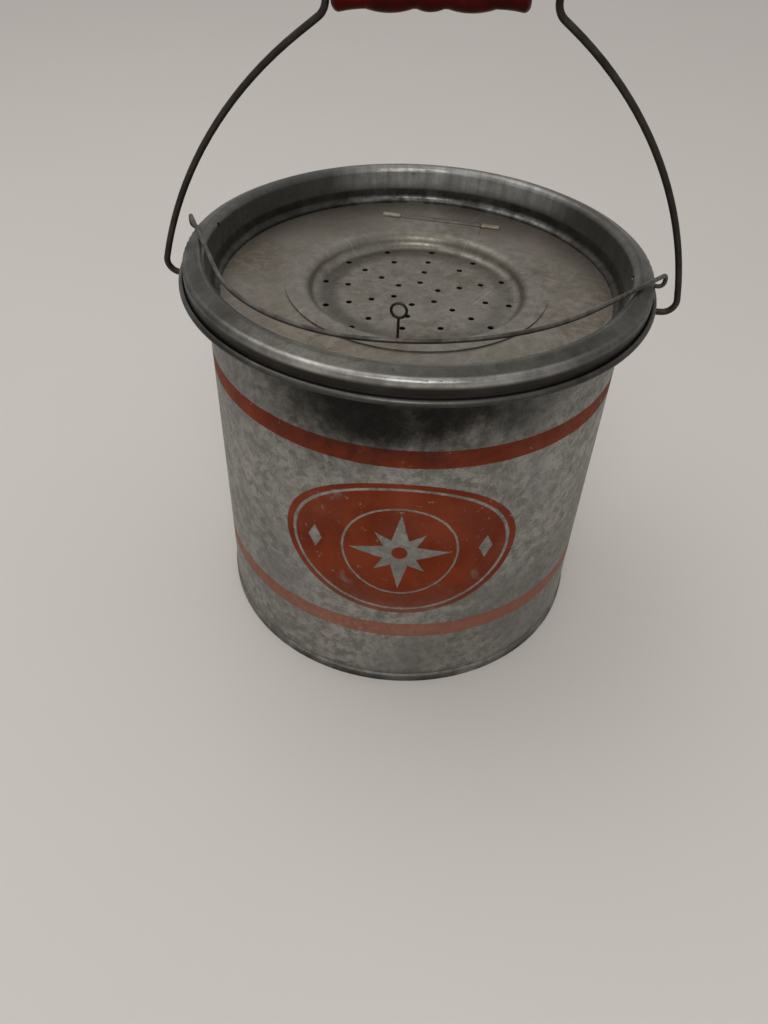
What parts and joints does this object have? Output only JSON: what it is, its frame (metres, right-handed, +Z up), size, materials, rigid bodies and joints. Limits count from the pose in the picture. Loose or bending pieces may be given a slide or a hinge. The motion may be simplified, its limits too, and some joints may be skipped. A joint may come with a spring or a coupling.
{
  "type": "minnow bucket",
  "caption": "Round galvanised bait bucket: a water pail with a wire bail and turned wooden grip, and a lift-out inner pail with a hinged perforated lid and a wire handle.",
  "frame": {"origin": "centre of the flat foot ring that the pail stands on", "axes": "+Z up the pail's axis, +X along the axis of the outer bail, -Y to the front, where the inner handle lies"},
  "size_m": [0.2946, 0.264, 0.3753],
  "materials": {
    "zinc": "dull weathered galvanised sheet",
    "banded_zinc": "mottled galvanised sheet with two plain orange bands",
    "tanned_zinc": "galvanised sheet stained brown",
    "dark_wire": "dark aged steel wire",
    "red_wood": "worn dark red gloss paint",
    "foam": "expanded foam"
  },
  "bodies": {
    "outer_pail": {"outer_shell": "banded_zinc", "outer_bottom": "zinc", "outer_rim_wire": "dark_wire", "bail_ear_left": "dark_wire", "bail_ear_right": "dark_wire", "ear_rivets": "dark_wire"},
    "outer_bail": {"outer_bail": "dark_wire"},
    "bail_grip": {"bail_grip": "red_wood"},
    "inner_pail": {"inner_shell": "zinc", "inner_bottom": "zinc", "top_rim": "zinc", "lip_wire": "dark_wire", "deck_plate": "tanned_zinc", "float_ring": "foam", "hinge_pin": "dark_wire"},
    "lid": {"lid": "tanned_zinc"},
    "lid_pull": {"lid_pull": "dark_wire"},
    "inner_bail": {"inner_bail": "dark_wire"}
  },
  "joints": [
    {"name": "outer_bail_swing", "type": "hinge", "parent": "outer_pail", "child": "outer_bail", "pos_m": [0, 0, 0.21], "axis": [1, 0, 0], "range_deg": [-121, 118]},
    {"name": "grip_spin", "type": "hinge", "parent": "outer_bail", "child": "bail_grip", "pos_m": [0.003, -0.004, 0.36255], "axis": [0.9988, -0.0013, 0.0499], "continuous": true},
    {"name": "inner_lift", "type": "slide", "parent": "outer_pail", "child": "inner_pail", "axis": [0, 0, 1], "range_m": [0, 0.018]},
    {"name": "lid_hinge", "type": "hinge", "parent": "inner_pail", "child": "lid", "pos_m": [0.00883, 0.08405, 0.21592], "axis": [-0.9945, 0.1045, 0], "range_deg": [0, 110]},
    {"name": "lid_pull_turn", "type": "hinge", "parent": "lid", "child": "lid_pull", "pos_m": [-0.0056, -0.05332, 0.20802], "axis": [0, 0, 1], "continuous": true},
    {"name": "inner_bail_swing", "type": "hinge", "parent": "inner_pail", "child": "inner_bail", "pos_m": [0, 0, 0.23202], "axis": [-0.9945, 0.1045, 0], "range_deg": [0, 106]}
  ]
}
